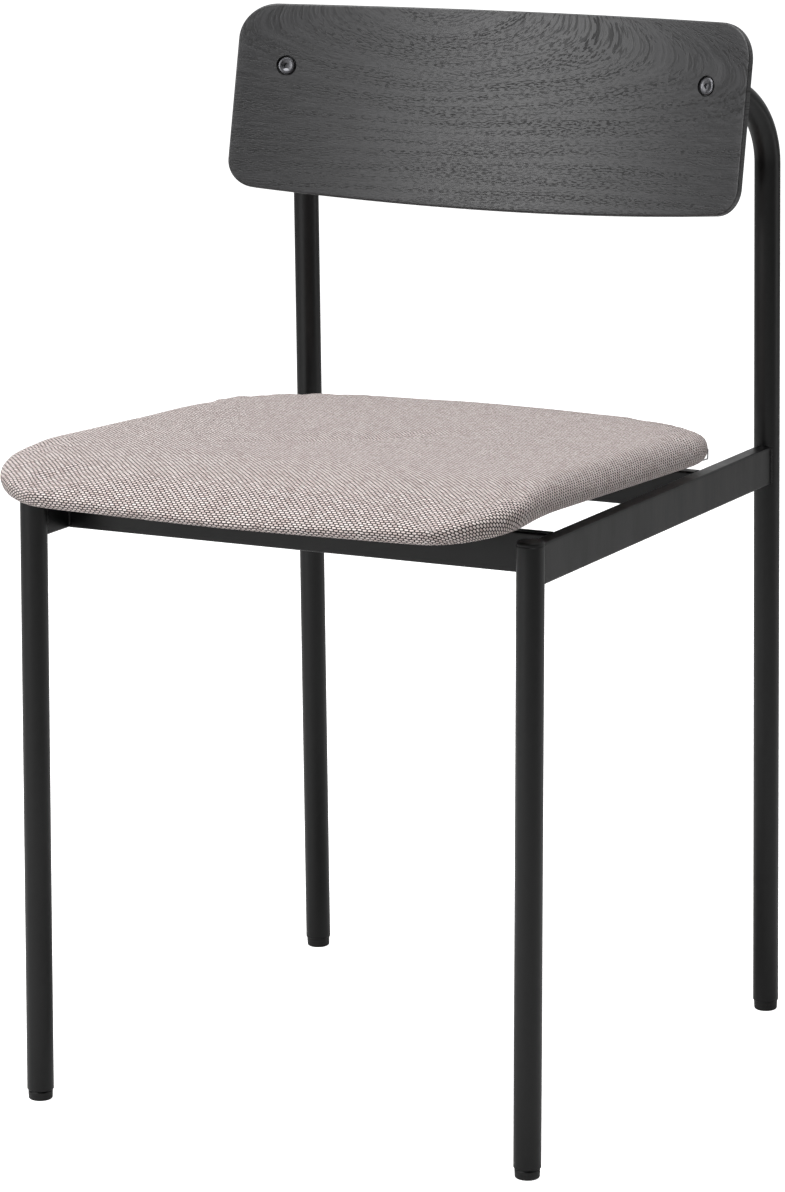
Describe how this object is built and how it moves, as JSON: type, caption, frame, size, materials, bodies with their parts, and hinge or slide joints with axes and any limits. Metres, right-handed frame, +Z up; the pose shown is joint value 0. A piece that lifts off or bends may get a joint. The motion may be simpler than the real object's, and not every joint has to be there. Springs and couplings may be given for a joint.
{
  "type": "dining chair",
  "caption": "Dining chair with a black steel tube frame, a thin upholstered seat pad and a curved black-stained plywood back panel bolted to the bent rear legs.",
  "frame": {"origin": "centre of the footprint's bounding box, on the floor under the feet", "axes": "+Z up from the floor, -Y out through the front of the seat, +X to the right as seen from in front; the chair mirrors about x = 0"},
  "size_m": [0.4104, 0.5146, 0.7488],
  "materials": {
    "frame_steel": "satin black powder coat",
    "black_plastic": "moulded",
    "black_rubber": "matte",
    "stained_oak": "black-stained oak veneer, satin lacquer, open pores",
    "board_ply": "plain birch plywood",
    "seat_fabric": "two-tone basket weave, pale mauve-grey on dark brown",
    "seat_foam": "cut polyurethane foam",
    "lining_cloth": "thin non-woven dust cloth",
    "bolt_steel": "gunmetal",
    "zinc_steel": "zinc plated"
  },
  "bodies": {
    "root": {"front_leg_left": "frame_steel", "front_leg_right": "frame_steel", "rear_leg_left": "frame_steel", "rear_leg_right": "frame_steel", "side_rail_left": "frame_steel", "side_rail_right": "frame_steel", "front_crossbar": "frame_steel", "rear_crossbar": "frame_steel", "front_leg_cap_left": "black_plastic", "front_leg_cap_right": "black_plastic", "front_glide_left": "black_plastic", "front_glide_right": "black_plastic", "rear_glide_left": "black_plastic", "rear_glide_right": "black_plastic", "back_panel": "stained_oak", "back_boss_left": "frame_steel", "back_boss_right": "frame_steel", "back_washer_left": "black_rubber", "back_washer_right": "black_rubber", "back_bolt_left": "bolt_steel", "back_bolt_right": "bolt_steel", "seat_board": "board_ply", "seat_foam": "seat_foam", "seat_cover": "seat_fabric", "seat_lining": "lining_cloth", "seat_staples": "zinc_steel", "front_seat_spacers": "black_rubber", "rear_seat_spacers": "black_rubber", "seat_screws": "bolt_steel", "seat_tee_nuts": "zinc_steel"}
  },
  "joints": []
}
